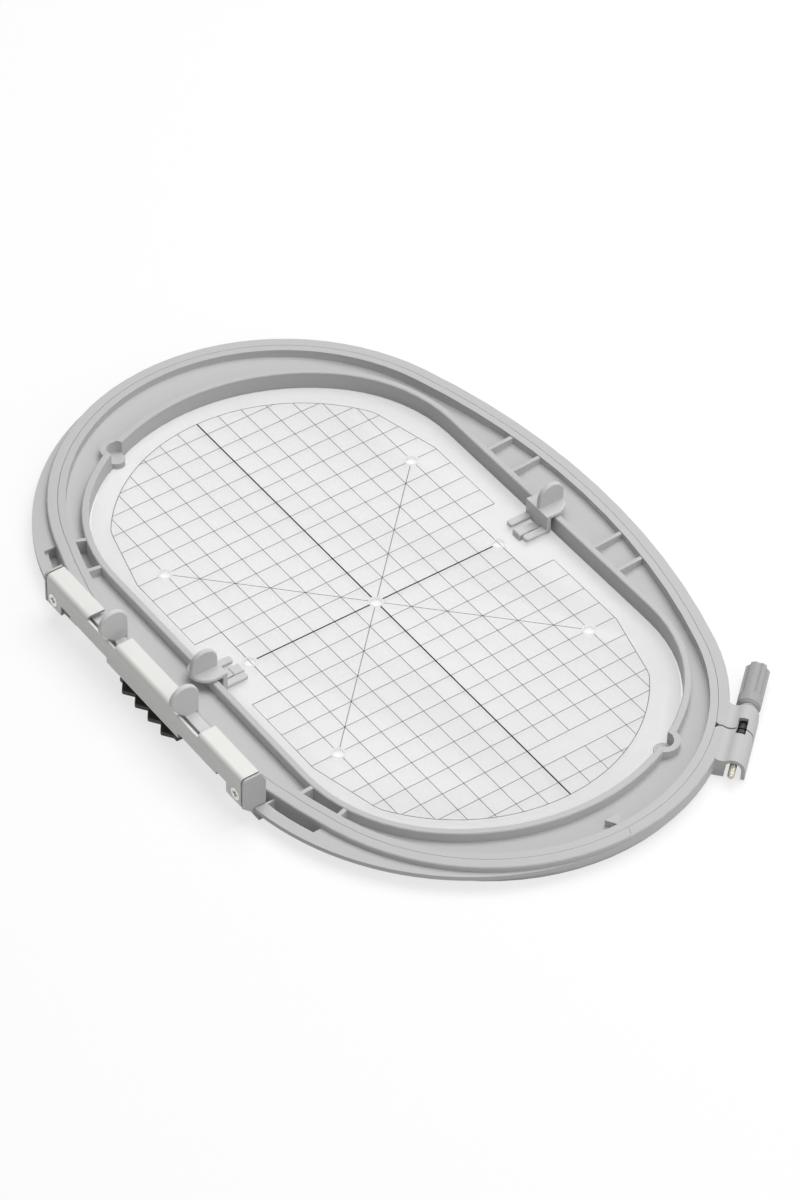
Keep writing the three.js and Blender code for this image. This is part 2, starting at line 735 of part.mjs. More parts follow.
// Bent sheet cover, cut out below and at the lever slots
function couplingCover() {
  const half = bracketHalfLength - endPlate - gap;
  const bendX = wallX + bendRadius;
  const bendZ = bracketTop - bendRadius;
  const profile = outline(
    corners([wallX, footBottom], [wallInnerX, footBottom]),
    arc(bendX, bendZ, bendRadius - sheet, Math.PI, Math.PI / 2, 5),
    corners([coverInnerX, bracketTop - sheet], [coverInnerX, bracketTop]),
    arc(bendX, bendZ, bendRadius, Math.PI / 2, Math.PI, 5),
  );
  const low = wallX - beyond;
  const high = wallInnerX + beyond;
  const slotBottom = bracketTop - leverSlotDepth;
  let cover = prismY(profile, -half, half);
  cover = cut(cover, box(low, high, -middleHalf, middleHalf, 0, middleBottom));
  const tools = [
    box(low, high, middleHalf, pinNotchStart, 0, stripBottom),
    box(low, high, pinNotchStart, footStart, 0, pinNotchTop),
    box(low, 0, leverSlotStart, leverSlotStop, slotBottom, bracketTop + beyond),
    placed(screwRoom(coverScrew, 2 * sheet), wallX, coverScrewY, coverScrewZ),
  ];
  return cut(cover, ...tools, ...tools.map(mirroredY));
}
addPart('coupling_cover', couplingCover(), sheetMetal);

// Release lever on the +Y side: sliding bar, thumb plate and latch nose
function releaseLever() {
  const bar = box(leverX, leverInnerX, leverStart, leverEnd, guideFloorTop + gap, leverTop);
  const neckX = thumbX + thumbRadius;
  const disc = arc(thumbX, thumbZ, thumbRadius, 0, 1.25 * Math.PI, 22);
  const neck = corners(
    [neckX - thumbNeck, leverTop - overlap],
    [leverInnerX, leverTop - overlap],
    [leverInnerX, guideWallTop + gap],
    [neckX, guideWallTop + gap],
  );
  const thumb = prismY(outline(disc, neck), thumbY, thumbY + thumbThickness, rimEdge);
  const noseBottom = guideFloorTop + gap;
  const noseEnd = leverEnd + noseLength;
  const nose = prismX(
    corners(
      [leverEnd - overlap, noseBottom],
      [noseEnd - noseLength / 2, noseBottom],
      [noseEnd, noseBottom + noseHeight / 2],
      [noseEnd, noseBottom + noseHeight],
      [leverEnd - overlap, noseBottom + noseHeight],
    ),
    leverMiddleX - noseWidth / 2,
    leverMiddleX + noseWidth / 2,
  );
  return union(bar, thumb, nose);
}
const lever = releaseLever();
addPart('release_lever_rear', lever, hoopPlastic);
addPart('release_lever_front', mirroredY(lever), hoopPlastic);

// Coil spring between the middle wall and the lever
const springRadius = (leverTop - guideFloorTop) / 2 - springMargin;
class Coil extends THREE.Curve {
  getPoint(t) {
    const angle = 2 * Math.PI * springTurns * t;
    const start = springWall / 2 + gap + springWire / 2;
    const end = leverStart - gap - springWire / 2;
    const x = leverMiddleX + springRadius * Math.cos(angle);
    const z = (guideFloorTop + leverTop) / 2 + springRadius * Math.sin(angle);
    return new THREE.Vector3(x, start + (end - start) * t, z);
  }
}
const wireSides = 5;
const wireTurn = 2 * Math.PI * (1 - 1 / wireSides);
const wireSection = new THREE.Shape(arc(0, 0, springWire / 2, 0, wireTurn, wireSides - 1));
const coil = new THREE.ExtrudeGeometry(wireSection, {
  steps: springTurns * springSteps,
  extrudePath: new Coil(),
  bevelEnabled: false,
});
const spring = solid(coil);
addPart('lever_spring_rear', spring, steel);
addPart('lever_spring_front', mirroredY(spring), steel);

// Coding comb: blunt teeth along the edge that faces the machine
function codingComb() {
  const rootX = combTipX + combDepth;
  const edge = [];
  for (let tooth = 0; tooth < combTeeth; tooth += 1) {
    const root = combTeethHalf - combPitch * tooth;
    const middle = root - combPitch / 2;
    edge.push([rootX, root], [combTipX, middle + combTip / 2], [combTipX, middle - combTip / 2]);
  }
  const points = corners(
    [combBackX, combHalfLength],
    [rootX, combHalfLength],
    ...edge,
    [rootX, -combTeethHalf],
    [rootX, -combHalfLength],
    [combBackX, -combHalfLength],
  );
  const hole = post(combScrewX, combScrewY, combScrew.shank + gap, 0, 2 * combTop);
  return cut(slab(points, combBottom, combTop), hole, mirroredY(hole));
}
addPart('coding_comb', codingComb(), darkPlastic);

// Fasteners of the bracket and the comb
const combScrewTop = combTop + gap + combScrew.headLength;
for (const [name, side] of [['rear', 1], ['front', -1]]) {
  const inCover = placed(crossScrew(coverScrew, true), wallX, side * coverScrewY, coverScrewZ);
  addPart(`cover_screw_${name}`, inCover, steel);
  const upward = crossScrew(bodyScrew, true);
  const inBody = placed(upward, bodyScrewX, side * bodyScrewY, bodyScrewSink, -Math.PI / 2);
  addPart(`body_screw_${name}`, inBody, steel);
  const downward = crossScrew(combScrew, false);
  const inComb = placed(downward, combScrewX, side * combScrewY, combScrewTop, Math.PI / 2);
  addPart(`comb_screw_${name}`, inComb, steel);
}

// Handle places, from the long axis
const handleWallX = openingHalfWidth - handleInset;
const prongX = handleWallX - prongLength;
const tongueX = handleWallX - tongueLength;
const bridgeX = openingHalfWidth + bridgeReach;

// Template plate
function templatePlate() {
  const plate = slab(openingOutline(-templateGap), plateBottom, plateTop);
  const markReach = openingHalfWidth - markInset;
  const marks = [[0, 0]];
  for (const side of [1, -1]) {
    marks.push([side * markReach, 0], [side * markReach, markReach], [side * markReach, -markReach]);
  }
  const holes = marks.map(([x, y]) => post(printX + x, printY + y, markHole, 0, 2 * plateTop));
  for (const [x, y] of niches) {
    holes.push(post(x, y, lugRadius + templateGap, 0, 2 * plateTop));
  }
  const slotHalf = tongueWidth / 2 + gap;
  const slotStop = tongueX + padLength + gap;
  const slotLow = tonguePlace - slotHalf;
  const slot = box(tongueX - gap, slotStop, slotLow, slotLow + 2 * slotHalf, 0, 2 * plateTop);
  const farSlot = slot.translate([0, farHandleY, 0]);
  const nearSlot = slot.mirror([1, 0, 0]).translate([0, nearHandleY, 0]);
  return cut(plate, ...holes, farSlot, nearSlot);
}
addPart('template_plate', templatePlate(), clearPlastic);

// Template handle on the +X side: prongs, snap tongue, upright wall, bridge over the rim and thumb grip
function templateHandle() {
  const half = handleWidth / 2;
  const low = plateTop + gap;
  const high = low + prongHeight;
  const wallEnd = handleWallX + handleWall;
  const root = handleWallX + overlap;
  const prongSide = half - prongWidth;
  const cornerX = prongX + prongCorner;
  const prong = outline(
    corners([root, prongSide], [root, half]),
    arc(cornerX, half - prongCorner, prongCorner, Math.PI / 2, Math.PI, 3),
    arc(cornerX, prongSide + prongCorner, prongCorner, Math.PI, 1.5 * Math.PI, 3),
  );
  const rightProng = slab(prong, low, high, [], rimEdge);
  const tongueLow = tonguePlace - tongueWidth / 2;
  const tongueHigh = tongueLow + tongueWidth;
  const padEnd = tongueX + padLength;
  const pad = corners(
    [tongueX, tongueLow], [padEnd, tongueLow], [padEnd, tongueHigh], [tongueX, tongueHigh],
  );
  const ramp = corners(
    [padEnd - overlap, low],
    [root, low],
    [root, low + tongueHeight - tongueSlope],
    [padEnd - overlap, low + tongueHeight],
  );
  const bridge = outline(
    corners([handleWallX, half], [handleWallX, -half]),
    arc(bridgeX, 0, half, -Math.PI / 2, Math.PI / 2, 16),
  );
  const gripRadius = gripWidth / 2;
  const gripX = handleWallX + overlap + gripRadius;
  const grip = outline(
    corners([gripX - gripRadius, bridgeTop - overlap], [gripX + gripRadius, bridgeTop - overlap]),
    arc(gripX, bridgeTop + gripHeight - gripRadius, gripRadius, 0, Math.PI, 16),
  );
  return union(
    rightProng,
    mirroredY(rightProng),
    box(handleWallX, wallEnd, -half, half, low, bridgeTop),
    prismY(ramp, tongueLow + rimEdge, tongueHigh - rimEdge),
    slab(pad, low, high - tongueDrop, [], rimEdge),
    box(tongueX, padEnd, tongueLow, tongueHigh, plateBottom, low + overlap),
    slab(bridge, bridgeBottom, bridgeTop, [], rimEdge),
    prismY(grip, -gripThickness / 2, gripThickness / 2, rimEdge),
  );
}
const handle = templateHandle();
const nearHandle = handle.mirror([1, 0, 0]);
addPart('template_handle_far', handle.translate([0, farHandleY, 0]), clearPlastic);
addPart('template_handle_near', nearHandle.translate([0, nearHandleY, 0]), clearPlastic);

// Tension clamp
const washerStart = frontLug + gap;
const collarStart = washerStart + washerThickness + gap;
const knobStart = collarStart + collarLength;
const knobEnd = knobStart + knobLength;
const screwEnd = knobStart + screwInKnob;

// Tool for one flute, with a rounded end after the knob's plain band
function fluteTool() {
  const start = knobStart + knobBand;
  const runOut = [0, 0.15, 0.5, 1].map((share) => {
    const rise = Math.sqrt(1 - (1 - share) ** 2);
    return [start + share * fluteRunOut, fluteRadius - fluteDepth * (1 - rise)];
  });
  return turnedX([...runOut, [knobEnd + beyond, fluteRadius]], knobSides);
}

function clampKnob() {
  const grip = turnedX([
    [knobStart, knobRadius - knobFrontEdge],
    [knobStart + knobFrontEdge, knobRadius],
    [knobEnd - knobEndEdge, knobRadius],
    [knobEnd, knobRadius - knobEndEdge],
  ], knobSides);
  const tool = fluteTool();
  const toolPlace = knobRadius - fluteDepth + fluteRadius;
  const flutes = [];
  for (let i = 0; i < fluteCount; i += 1) {
    const angle = fluteTurn + (2 * Math.PI * i) / fluteCount;
    flutes.push(placed(tool, 0, toolPlace * Math.cos(angle), toolPlace * Math.sin(angle)));
  }
  const collar = turnedX([[collarStart, collarRadius], [knobStart + knobBand, collarRadius]]);
  const bore = turnedX([[0, screwRadius + gap], [screwEnd + gap, screwRadius + gap]]);
  return cut(union(grip, collar), bore, ...flutes);
}
addPart('clamp_knob', onClamp(clampKnob()), knobPlastic);

const screwBody = turnedX([
  [-screwTip, screwRadius / 2], [-screwTip + screwRadius / 2, screwRadius], [screwEnd, screwRadius],
]);
addPart('clamp_screw', onClamp(screwBody), steel);

function sleeve(from, to, radius) {
  const bore = screwRadius + gap;
  return cut(turnedX([[from, radius], [to, radius]]), turnedX([[from - beyond, bore], [to + beyond, bore]]));
}
addPart('clamp_washer', onClamp(sleeve(washerStart, washerStart + washerThickness, washerRadius)), steel);

function clampNut() {
  const end = nutWallEnd - nutWall - gap;
  const start = end - nutLength;
  const bore = screwRadius + gap;
  const block = prismX(archProfile(nutRadius, -nutRadius), start, end);
  return cut(block, turnedX([[start - beyond, bore], [end + beyond, bore]]));
}
addPart('clamp_nut', onClamp(clampNut()), darkPlastic);

function clampRetainer() {
  const lipEnd = retainerStart + retainerLip;
  const neckEnd = lipEnd + retainerGroove;
  const end = frontLug - lugWall - gap;
  const clip = union(
    sleeve(retainerStart, lipEnd, retainerRadius),
    sleeve(retainerStart, end, retainerNeck),
    sleeve(neckEnd, end, retainerRadius),
  );
  const low = retainerStart - beyond;
  const mouth = box(low, frontLug, -screwRadius, screwRadius, -hoodRadius, 0);
  const fork = box(low, retainerStart + retainerFork, -forkWidth / 2, forkWidth / 2, 0, hoodRadius);
  return cut(clip, mouth, fork);
}
addPart('clamp_retainer', onClamp(clampRetainer()), darkPlastic);

export default hoop;
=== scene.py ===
import math
import bmesh
import bpy
from mathutils import Matrix, Vector
from mathutils.bvhtree import BVHTree


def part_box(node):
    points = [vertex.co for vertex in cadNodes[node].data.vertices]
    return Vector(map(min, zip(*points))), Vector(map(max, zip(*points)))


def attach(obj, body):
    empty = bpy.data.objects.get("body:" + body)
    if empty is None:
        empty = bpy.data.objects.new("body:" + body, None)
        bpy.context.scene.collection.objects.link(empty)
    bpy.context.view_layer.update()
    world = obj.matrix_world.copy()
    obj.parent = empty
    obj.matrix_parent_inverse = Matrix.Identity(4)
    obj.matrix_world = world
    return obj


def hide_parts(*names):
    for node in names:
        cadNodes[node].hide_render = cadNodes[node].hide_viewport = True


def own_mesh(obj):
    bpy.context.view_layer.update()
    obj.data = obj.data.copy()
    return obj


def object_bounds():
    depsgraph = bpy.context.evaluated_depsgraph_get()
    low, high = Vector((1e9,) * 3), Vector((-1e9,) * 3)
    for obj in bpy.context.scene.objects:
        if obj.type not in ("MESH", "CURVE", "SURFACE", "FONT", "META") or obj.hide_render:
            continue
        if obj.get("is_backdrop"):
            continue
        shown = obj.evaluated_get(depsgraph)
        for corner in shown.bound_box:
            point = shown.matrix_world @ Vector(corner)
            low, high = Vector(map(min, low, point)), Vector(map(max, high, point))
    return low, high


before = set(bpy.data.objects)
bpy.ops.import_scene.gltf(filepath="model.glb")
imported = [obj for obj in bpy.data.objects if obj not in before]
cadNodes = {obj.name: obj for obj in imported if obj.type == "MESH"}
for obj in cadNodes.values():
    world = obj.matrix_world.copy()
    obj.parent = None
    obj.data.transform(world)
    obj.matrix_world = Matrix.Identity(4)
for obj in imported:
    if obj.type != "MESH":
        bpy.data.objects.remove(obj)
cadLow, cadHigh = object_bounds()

mm = 0.001
scene = bpy.context.scene
scene.view_settings.view_transform = "Standard"
print("frame loaded,", len(cadNodes), "nodes")


def newObject(name, data):
    obj = bpy.data.objects.new(name, data)
    scene.collection.objects.link(obj)
    return obj


# camera at the photograph's angle
cameraSetup = {
    "aim": (11.28, -3.22, 1.5),  # mm
    "azimuth": -36.52,  # degrees, as the next two are
    "elevation": 43.64,
    "roll": 1.564,
    "distance": 1846.9,  # mm
    "lens": 140.49,  # for the default 36 mm sensor, along the tall side
}


def placeCamera(setup):
    azimuth, elevation, roll = (math.radians(setup[k]) for k in ("azimuth", "elevation", "roll"))
    level = math.cos(elevation)
    back = Vector((math.sin(azimuth) * level, -math.cos(azimuth) * level, math.sin(elevation)))
    right = Vector((math.cos(azimuth), math.sin(azimuth), 0))
    up = back.cross(right)
    turnedRight = right * math.cos(roll) + up * math.sin(roll)
    turnedUp = up * math.cos(roll) - right * math.sin(roll)
    data = bpy.data.cameras.new("photoCamera")
    data.lens = setup["lens"]
    camera = newObject("photoCamera", data)
    axes = Matrix((turnedRight, turnedUp, back)).transposed().to_4x4()
    place = (Vector(setup["aim"]) + back * setup["distance"]) * mm
    camera.matrix_world = Matrix.Translation(place) @ axes
    scene.camera = camera


placeCamera(cameraSetup)
print("camera placed")


# node helpers, for finishes and for geometry
nodeGap = 200


def addNode(tree, kind, **settings):
    node = tree.nodes.new(kind)
    node.location = (nodeGap * len(tree.nodes), 0)  # in a row, in the order they are made
    for name, value in settings.items():
        setattr(node, name, value)
    return node


def feed(tree, socket, source):
    # links another node's output, or sets a plain value
    if isinstance(source, bpy.types.NodeSocket):
        tree.links.new(source, socket)
    else:
        socket.default_value = source


def wire(tree, node, **sources):
    # feeds inputs by name, with _ for a space
    for name, source in sources.items():
        feed(tree, node.inputs[name.replace("_", " ")], source)
    return node


def calc(tree, operation, *values):
    node = addNode(tree, "ShaderNodeMath", operation=operation)
    for socket, value in zip(node.inputs, values):
        feed(tree, socket, value)
    return node.outputs[0]


def ramp(tree, value, low, high, start=0.0, end=1.0):
    node = addNode(tree, "ShaderNodeMapRange")
    wire(tree, node, Value=value, From_Min=low, From_Max=high, To_Min=start, To_Max=end)
    return node.outputs["Result"]


def newMaterial(name):
    material = bpy.data.materials.new(name)
    material.use_nodes = True
    tree = material.node_tree
    return material, tree, tree.nodes["Principled BSDF"]


# what the finishes share
noiseRange = (0.3, 0.7)  # where most of the noise lies
wearPatches = {"scale": 70, "detail": 3, "least": 0.35}  # least, the share of wear between patches
mixInputs = {"factor": 0, "dark": 6, "light": 7}  # of a mix node that works on colours
mixResult = 2


def objectNoise(tree, scale, detail, stretch=(1, 1, 1)):
    coords = addNode(tree, "ShaderNodeTexCoord")
    mapping = addNode(tree, "ShaderNodeMapping")
    wire(tree, mapping, Vector=coords.outputs["Object"], Scale=stretch)
    noise = addNode(tree, "ShaderNodeTexNoise")
    wire(tree, noise, Vector=mapping.outputs["Vector"], Scale=scale, Detail=detail)
    return noise.outputs["Fac"]


def opaque(colour):
    return (*colour, 1)


def shaded(finish, steps):
    return opaque(min(c * (1 + steps * finish["shift"]), 1) for c in finish["colour"])


def tinted(tree, factor, dark, light):
    mix = addNode(tree, "ShaderNodeMix", data_type="RGBA")
    feed(tree, mix.inputs[mixInputs["factor"]], factor)
    feed(tree, mix.inputs[mixInputs["dark"]], dark)
    feed(tree, mix.inputs[mixInputs["light"]], light)
    return mix.outputs[mixResult]


def edgeWear(tree, amount):
    # the rounded edges of a piece carry "worn", and a coarse noise breaks it up
    edge = addNode(tree, "ShaderNodeAttribute", attribute_name="worn")
    noise = objectNoise(tree, wearPatches["scale"], wearPatches["detail"])
    patches = ramp(tree, noise, *noiseRange, wearPatches["least"] * amount, amount)
    return calc(tree, "MULTIPLY", edge.outputs["Fac"], patches)


def unevenRough(tree, noise, middle, swing):
    return ramp(tree, noise, *noiseRange, middle - swing, middle + swing)


def roughened(tree, shader, height, strength, depth):
    bump = addNode(tree, "ShaderNodeBump")
    wire(tree, bump, Height=height, Strength=strength, Distance=depth * mm)
    wire(tree, shader, Normal=bump.outputs["Normal"])


# moulded plastics and printing ink
plasticSkin = {
    "cloudDetail": 2,
    "grainDetail": 3,
    "wear": 0.6,
    "wornSteps": 5,  # shifts of colour at a worn edge
    "polish": -0.15,  # change of roughness there
    "roughSwing": 0.06,
    "depth": 0.06,  # mm
    "glowReach": 2,  # mm
}
plasticFinishes = {
    "hoopGrey": {"colour": (0.552, 0.554, 0.553), "shift": 0.02, "cloud": 14, "grain": 3200,
                 "roughness": 0.5, "bump": 0.22, "gloss": 0.35},
    "leverGrey": {"colour": (0.67, 0.675, 0.672), "shift": 0.02, "cloud": 40, "grain": 3600,
                  "roughness": 0.45, "bump": 0.15, "gloss": 0.4},
    "handleGrey": {"colour": (0.62, 0.625, 0.623), "shift": 0.015, "cloud": 40, "grain": 4200,
                   "roughness": 0.4, "bump": 0.1, "gloss": 0.4, "glow": 0.15},
    "knobGrey": {"colour": (0.395, 0.397, 0.396), "shift": 0.025, "cloud": 60, "grain": 3000,
                 "roughness": 0.5, "bump": 0.25, "gloss": 0.35},
    "combBlack": {"colour": (0.05, 0.05, 0.047), "shift": 0.12, "cloud": 90, "grain": 2600,
                  "roughness": 0.5, "bump": 0.3, "gloss": 0.45},
    "nutBlack": {"colour": (0.016, 0.016, 0.017), "shift": 0.15, "cloud": 90, "grain": 3000,
                 "roughness": 0.42, "bump": 0.2, "gloss": 0.5},
    "rimWhite": {"colour": (0.8, 0.81, 0.815), "shift": 0.01, "cloud": 60, "grain": 3000,
                 "roughness": 0.4, "bump": 0.05, "gloss": 0.4},
    "gridInk": {"colour": (0.16, 0.165, 0.165), "shift": 0.1, "cloud": 30, "grain": 3000,
                "roughness": 0.6, "bump": 0.05, "gloss": 0.2},
    "axisInk": {"colour": (0.025, 0.025, 0.025), "shift": 0.15, "cloud": 30, "grain": 3000,
                "roughness": 0.55, "bump": 0.05, "gloss": 0.25},
}


def mouldedPlastic(name, finish, skin):
    material, tree, shader = newMaterial(name)
    cloud = objectNoise(tree, finish["cloud"], skin["cloudDetail"])
    grain = objectNoise(tree, finish["grain"], skin["grainDetail"])
    body = tinted(tree, cloud, shaded(finish, -1), shaded(finish, 1))
    wear = edgeWear(tree, skin["wear"])
    rough = unevenRough(tree, grain, finish["roughness"], skin["roughSwing"])
    wire(tree, shader, Base_Color=tinted(tree, wear, body, shaded(finish, skin["wornSteps"])),
         Roughness=calc(tree, "MULTIPLY_ADD", wear, skin["polish"], rough),
         Specular_IOR_Level=finish["gloss"])
    roughened(tree, shader, grain, finish["bump"], skin["depth"])
    if "glow" in finish:
        wire(tree, shader, Subsurface_Weight=finish["glow"], Subsurface_Scale=1.0,
             Subsurface_Radius=[skin["glowReach"] * mm] * 3)
    return material


# sheet metal, screws and springs
metalSkin = {
    "cloudDetail": 2,
    "streakDetail": 3,
    "wear": 0.5,
    "wornSteps": 4,
    "roughSwing": 0.07,
    "depth": 0.04,  # mm
}
metalFinishes = {
    # the cover's 'cut' colour is painted shade for the end faces of the sheet
    "coverSatin": {"colour": (0.785, 0.78, 0.755), "shift": 0.012, "cloud": 20, "streak": 60,
                   "stretch": (40, 1, 40), "roughness": 0.45, "bump": 0.12, "metallic": 0.08,
                   "cut": (0.33, 0.33, 0.32)},
    "screwBright": {"colour": (0.7, 0.69, 0.66), "shift": 0.05, "cloud": 200, "streak": 400,
                    "stretch": (1, 1, 1), "roughness": 0.2, "bump": 0.08, "metallic": 1.0},
    "screwSteel": {"colour": (0.46, 0.445, 0.39), "shift": 0.06, "cloud": 200, "streak": 400,
                   "stretch": (1, 1, 1), "roughness": 0.17, "bump": 0.08, "metallic": 1.0},
    "screwNickel": {"colour": (0.5, 0.485, 0.4), "shift": 0.04, "cloud": 200, "streak": 400,
                    "stretch": (1, 1, 1), "roughness": 0.13, "bump": 0.05, "metallic": 0.85},
    "springSteel": {"colour": (0.42, 0.41, 0.385), "shift": 0.08, "cloud": 300, "streak": 500,
                    "stretch": (1, 1, 1), "roughness": 0.34, "bump": 0.1, "metallic": 1.0},
}


def brushedMetal(name, finish, skin):
    material, tree, shader = newMaterial(name)
    streaks = objectNoise(tree, finish["streak"], skin["streakDetail"], finish["stretch"])
    cloud = objectNoise(tree, finish["cloud"], skin["cloudDetail"])
    body = tinted(tree, cloud, shaded(finish, -1), shaded(finish, 1))
    body = tinted(tree, edgeWear(tree, skin["wear"]), body, shaded(finish, skin["wornSteps"]))
    if "cut" in finish:  # painted shade: the sheet's end faces take the dark 'cut' colour, standing in for the shadowed joints at the cover's ends
        endShade = addNode(tree, "ShaderNodeAttribute", attribute_name="cut")
        body = tinted(tree, endShade.outputs["Fac"], body, opaque(finish["cut"]))
    rough = unevenRough(tree, streaks, finish["roughness"], skin["roughSwing"])
    wire(tree, shader, Base_Color=body, Roughness=rough, Metallic=finish["metallic"])
    roughened(tree, shader, streaks, finish["bump"], skin["depth"])
    return material


# clear plastic of the template
sheetFinish = {
    "colour": (0.78, 0.785, 0.785),
    "shift": 0.01,
    "alpha": 0.2,
    "roughness": 0.34,
    "roughSwing": 0.03,
    "cloud": 25,
    "cloudDetail": 3,
    "gloss": 0.25,
    "ior": 1.49,
}


def clearSheet(name, finish):
    material, tree, shader = newMaterial(name)
    cloud = objectNoise(tree, finish["cloud"], finish["cloudDetail"])
    wire(tree, shader, Base_Color=tinted(tree, cloud, shaded(finish, -1), shaded(finish, 1)),
         Roughness=unevenRough(tree, cloud, finish["roughness"], finish["roughSwing"]),
         Specular_IOR_Level=finish["gloss"], Alpha=finish["alpha"], IOR=finish["ior"])
    return material


finishes = {"templateClear": clearSheet("templateClear", sheetFinish)}
for name, finish in plasticFinishes.items():
    finishes[name] = mouldedPlastic(name, finish, plasticSkin)
for name, finish in metalFinishes.items():
    finishes[name] = brushedMetal(name, finish, metalSkin)
print("finishes made:", len(finishes))


# seam between the two rings
seamSetup = {
    "reach": 0.6,  # mm, walls nearer than this belong to the seam
    "close": 0.48,  # share of the gap that the clamped ring takes up
    "rim": 0.7,  # mm below the top that count as rim
    "drop": 0.12,  # mm that the rims end below the top
}


def closeSeam(work, neighbour, setup, close):
    # the clamped ring sits closer to the inner hoop than the solids' clearance, with sharper rims
    other = cadNodes[neighbour].data
    near = BVHTree.FromPolygons([v.co for v in other.vertices], [p.vertices for p in other.polygons])
    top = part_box("inner_hoop")[1][2]
    for vert in work.verts:
        place = near.find_nearest(vert.co, setup["reach"] * mm)[0]
        if place:
            vert.co = vert.co.lerp(place, close)
            if vert.co.z > top - setup["rim"] * mm:
                vert.co.z = top - setup["drop"] * mm


def sharpRim(work):
    closeSeam(work, "outer_hoop", seamSetup, 0)


# pockets in the flange, beside both ends of the bracket
flangePockets = {  # mm
    "sideCentre": 197.797,  # of the ring's long side
    "sideRadius": 299.997,
    "shift": 4.4,
    "strip": (5.1, 5.5),  # how far outside the radius the pocket's wall stands
    "span": (68.5, 96.0),
    "top": 7.1,
    "move": 0.85,
}


def openPockets(work, pocket):
    # the pockets reach in to the wall of the ring
    centre = Vector((pocket["sideCentre"] + pocket["shift"], 0)) * mm
    nearEnd, farEnd = pocket["span"]
    inside, outside = pocket["strip"]
    for vert in work.verts:
        away = vert.co.xy - centre
        beyond = away.length / mm - pocket["sideRadius"]
        inSpan = nearEnd < abs(vert.co.y) / mm < farEnd and vert.co.x < 0
        if inSpan and vert.co.z < pocket["top"] * mm and inside < beyond < outside:
            vert.co.xy -= away.normalized() * pocket["move"] * mm


def flexedRing(work):
    closeSeam(work, "inner_hoop", seamSetup, seamSetup["close"])
    openPockets(work, flangePockets)


# sliding bars of the release levers
leverBars = {"wallX": -105.7, "below": 20.8, "move": 1.1}  # mm


def slimBar(work):
    # the bar stands back from the wall of the cover, which leaves a dark line
    for vert in work.verts:
        if vert.co.x < leverBars["wallX"] * mm and vert.co.z < leverBars["below"] * mm:
            vert.co.x += leverBars["move"] * mm


# ends of the metal cover
coverEnds = {"reach": 0.1, "trim": 0.25, "facing": 0.8}  # mm, and how squarely an end face looks out to be painted dark as shade


def shortSheet(work):
    # a wider joint at both ends of the cover, which shows as a dark line
    end = max(vert.co.y for vert in work.verts)
    for vert in work.verts:
        if abs(vert.co.y) > end - coverEnds["reach"] * mm:
            vert.co.y -= math.copysign(coverEnds["trim"] * mm, vert.co.y)


# masks the sheet's end faces for a dark colour, painted shade of the joints at the cover's ends
def paintEndShade(mesh):
    cut = mesh.attributes.new("cut", "FLOAT", "FACE")
    endShade = [float(abs(face.normal.y) > coverEnds["facing"]) for face in mesh.polygons]
    cut.data.foreach_set("value", endShade)


# copies of the solids with rounded edges
reshapes = {
    "inner_hoop": sharpRim,
    "outer_hoop": flexedRing,
    "coupling_cover": shortSheet,
    "release_lever_rear": slimBar,
    "release_lever_front": slimBar,
}
softEdges = {
    "weld": 0.002,  # mm
    "flat": 0.6,  # degrees, faces that meet flatter than this are joined
    "sharp": 40,  # degrees, for smooth shading
    "crease": 24,  # degrees, edges from here on are rounded
    "segments": 2,
}
softPieces = [
    # node, body, finish, slot, rounding in mm
    ("inner_hoop", "inner", "hoopGrey", "hoop_plastic", 0.1),
    ("outer_hoop", "outer", "hoopGrey", "hoop_plastic", 0.1),
    ("coupling_body", "outer", "hoopGrey", "hoop_plastic", 0.2),
    ("coupling_cover", "outer", "coverSatin", "cover_metal", 0.15),
    ("coding_comb", "outer", "combBlack", "black_plastic", 0.25),
    ("clamp_nut", "outer", "nutBlack", "black_plastic", 0.15),
    ("clamp_washer", "outer", "screwSteel", "screw_steel", 0.15),
    ("release_lever_rear", "lever_rear", "leverGrey", "hoop_plastic", 0.25),
    ("release_lever_front", "lever_front", "leverGrey", "hoop_plastic", 0.25),
    ("template_plate", "template", "templateClear", "clear_plastic", 0),
    ("template_handle_near", "template", "handleGrey", "handle_plastic", 0.12),
    ("template_handle_far", "template", "handleGrey", "handle_plastic", 0.12),
    ("clamp_knob", "clamp", "knobGrey", "knob_plastic", 0.12),
    ("clamp_retainer", "clamp", "nutBlack", "black_plastic", 0.15),
]


def evaluatedMesh(obj, **options):
    graph = bpy.context.evaluated_depsgraph_get()
    return bpy.data.meshes.new_from_object(obj.evaluated_get(graph), depsgraph=graph, **options)


def markEdges(mesh):
    # the bevel puts its faces in a second slot, kept here as an attribute of each face
    worn = mesh.attributes.new("worn", "FLOAT", "FACE")
    worn.data.foreach_set("value", [float(face.material_index) for face in mesh.polygons])
    for face in mesh.polygons:
        face.material_index = 0
    mesh.materials.pop(index=1)


def softMesh(nodeName, finish, edge):
    mesh = cadNodes[nodeName].data.copy()
    work = bmesh.new()
    work.from_mesh(mesh)
    bmesh.ops.remove_doubles(work, verts=work.verts, dist=softEdges["weld"] * mm)
    if nodeName in reshapes:
        reshapes[nodeName](work)
    if edge:
        flat = math.radians(softEdges["flat"])
        bmesh.ops.dissolve_limit(work, angle_limit=flat, verts=work.verts, edges=work.edges)
    for face in work.faces:
        face.smooth = True
    work.to_mesh(mesh)
    work.free()
    mesh.materials.clear()
    mesh.materials.append(finishes[finish])
    mesh.set_sharp_from_angle(angle=math.radians(softEdges["sharp"]))
    return mesh


